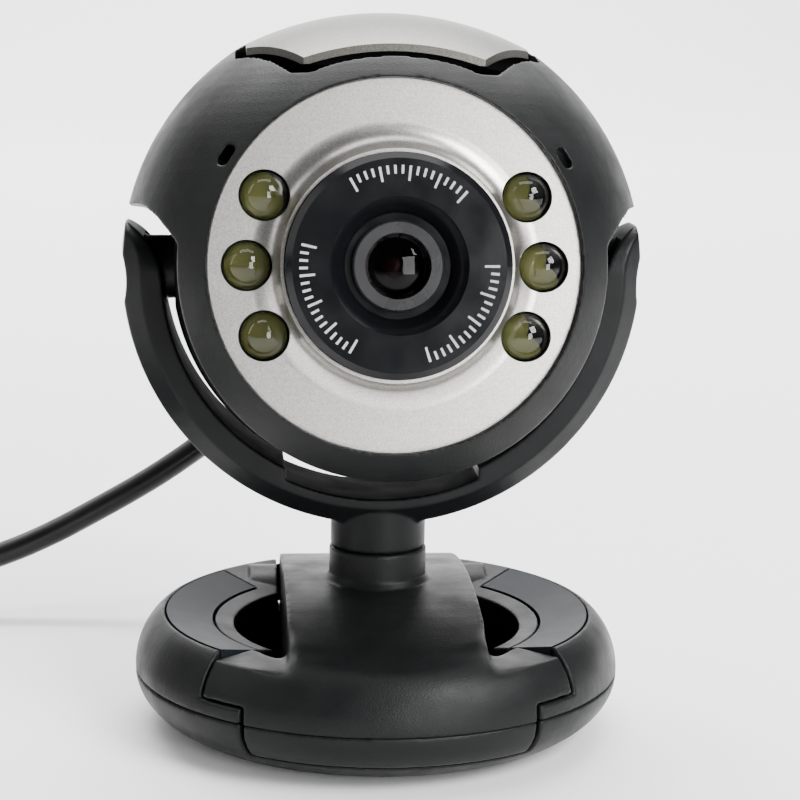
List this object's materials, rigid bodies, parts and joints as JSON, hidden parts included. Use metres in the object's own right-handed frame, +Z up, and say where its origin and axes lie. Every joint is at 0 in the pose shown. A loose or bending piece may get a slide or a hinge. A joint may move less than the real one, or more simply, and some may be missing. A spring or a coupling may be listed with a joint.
{
  "type": "webcam",
  "caption": "Ball-shaped desk webcam with ring lights, a focus ring and a snapshot button, tilting in a forked yoke on a round sprung clip base",
  "frame": {"origin": "centre of the base's underside, on the desk", "axes": "+Z up, the lens looks towards -Y, +X to the right seen from the front"},
  "size_m": [0.1407, 0.0829, 0.0836],
  "materials": {
    "shell_black": "fine spark-eroded grain",
    "yoke_grey": "satin",
    "silver": "fine metallic paint",
    "ring_gloss": "semi-gloss",
    "inner_black": "matte",
    "barrel": "black anodised",
    "glass_dark": "coated",
    "led_clear": "clear epoxy",
    "board": "solder mask",
    "chip": "moulded",
    "steel": "zinc plated",
    "rubber_part": "matte",
    "pad_rubber": "smooth",
    "cord_black": "satin PVC",
    "plug_metal": "nickel plated",
    "white_plastic": "moulded"
  },
  "bodies": {
    "ring": {"ring_cover": "shell_black", "ring_tray": "shell_black", "left_pad": "pad_rubber", "right_pad": "pad_rubber", "ring_screws": "steel", "hinge_pin": "steel", "cord_lower": "cord_black", "cord_coil": "cord_black", "cord_tail": "cord_black", "cord_tie": "pad_rubber", "plug_grip": "cord_black", "plug_shell": "plug_metal", "plug_tongue": "white_plastic"},
    "jaw": {"jaw_cover": "shell_black", "jaw_tray": "shell_black", "jaw_screws": "steel", "clip_spring": "steel"},
    "yoke": {"yoke": "yoke_grey", "neck_screw": "steel", "cord_middle": "cord_black", "neck_washer": "steel"},
    "head": {"front_shell": "shell_black", "rear_shell": "shell_black", "face_plate": "silver", "led_1": "led_clear", "led_2": "led_clear", "led_3": "led_clear", "led_4": "led_clear", "led_5": "led_clear", "led_6": "led_clear", "led_board": "board", "lens_holder": "inner_black", "main_board": "board", "image_sensor": "chip", "controller_chip": "chip", "microphone": "steel", "snapshot_switch": "chip", "head_screws": "steel", "tilt_washers": "rubber_part", "strain_relief": "cord_black", "cord_upper": "cord_black"},
    "button": {"snapshot_button": "silver", "button_carrier": "inner_black", "switch_plunger": "inner_black"},
    "focus": {"focus_ring": "ring_gloss"},
    "lens": {"lens_barrel": "barrel", "front_lens": "glass_dark", "rear_lens": "glass_dark"}
  },
  "joints": [
    {"name": "clip_open", "type": "hinge", "parent": "ring", "child": "jaw", "pos_m": [0, 0.0185, 0.008], "axis": [-1, 0, 0], "range_deg": [0, 24], "stiffness_Nm_per_rad": 0.3, "springref_deg": -34.38, "deforming": ["cord_lower"]},
    {"name": "neck_pan", "type": "hinge", "parent": "jaw", "child": "yoke", "pos_m": [0, 0, 0.0214], "axis": [0, 0, 1], "range_deg": [-45, 45], "deforming": ["cord_middle"]},
    {"name": "head_tilt", "type": "hinge", "parent": "yoke", "child": "head", "pos_m": [0, 0, 0.0544], "axis": [-1, 0, 0], "range_deg": [-20, 40], "deforming": ["cord_upper"]},
    {"name": "button_press", "type": "slide", "parent": "head", "child": "button", "axis": [0, -0.1305, -0.9914], "range_m": [0, 0.0006], "stiffness_N_per_m": 400, "springref_m": -0.001},
    {"name": "focus_turn", "type": "hinge", "parent": "head", "child": "focus", "pos_m": [0, -0.0238, 0.05753], "axis": [0, -0.9914, 0.1305], "range_deg": [-150, 150]},
    {"name": "lens_travel", "type": "slide", "parent": "head", "child": "lens", "axis": [0, -0.9914, 0.1305], "range_m": [-0.00025, 0.00025]}
  ],
  "couplings": [
    {"joint": "lens_travel", "follows": "focus_turn", "m_per_rad": 0.0000796}
  ]
}
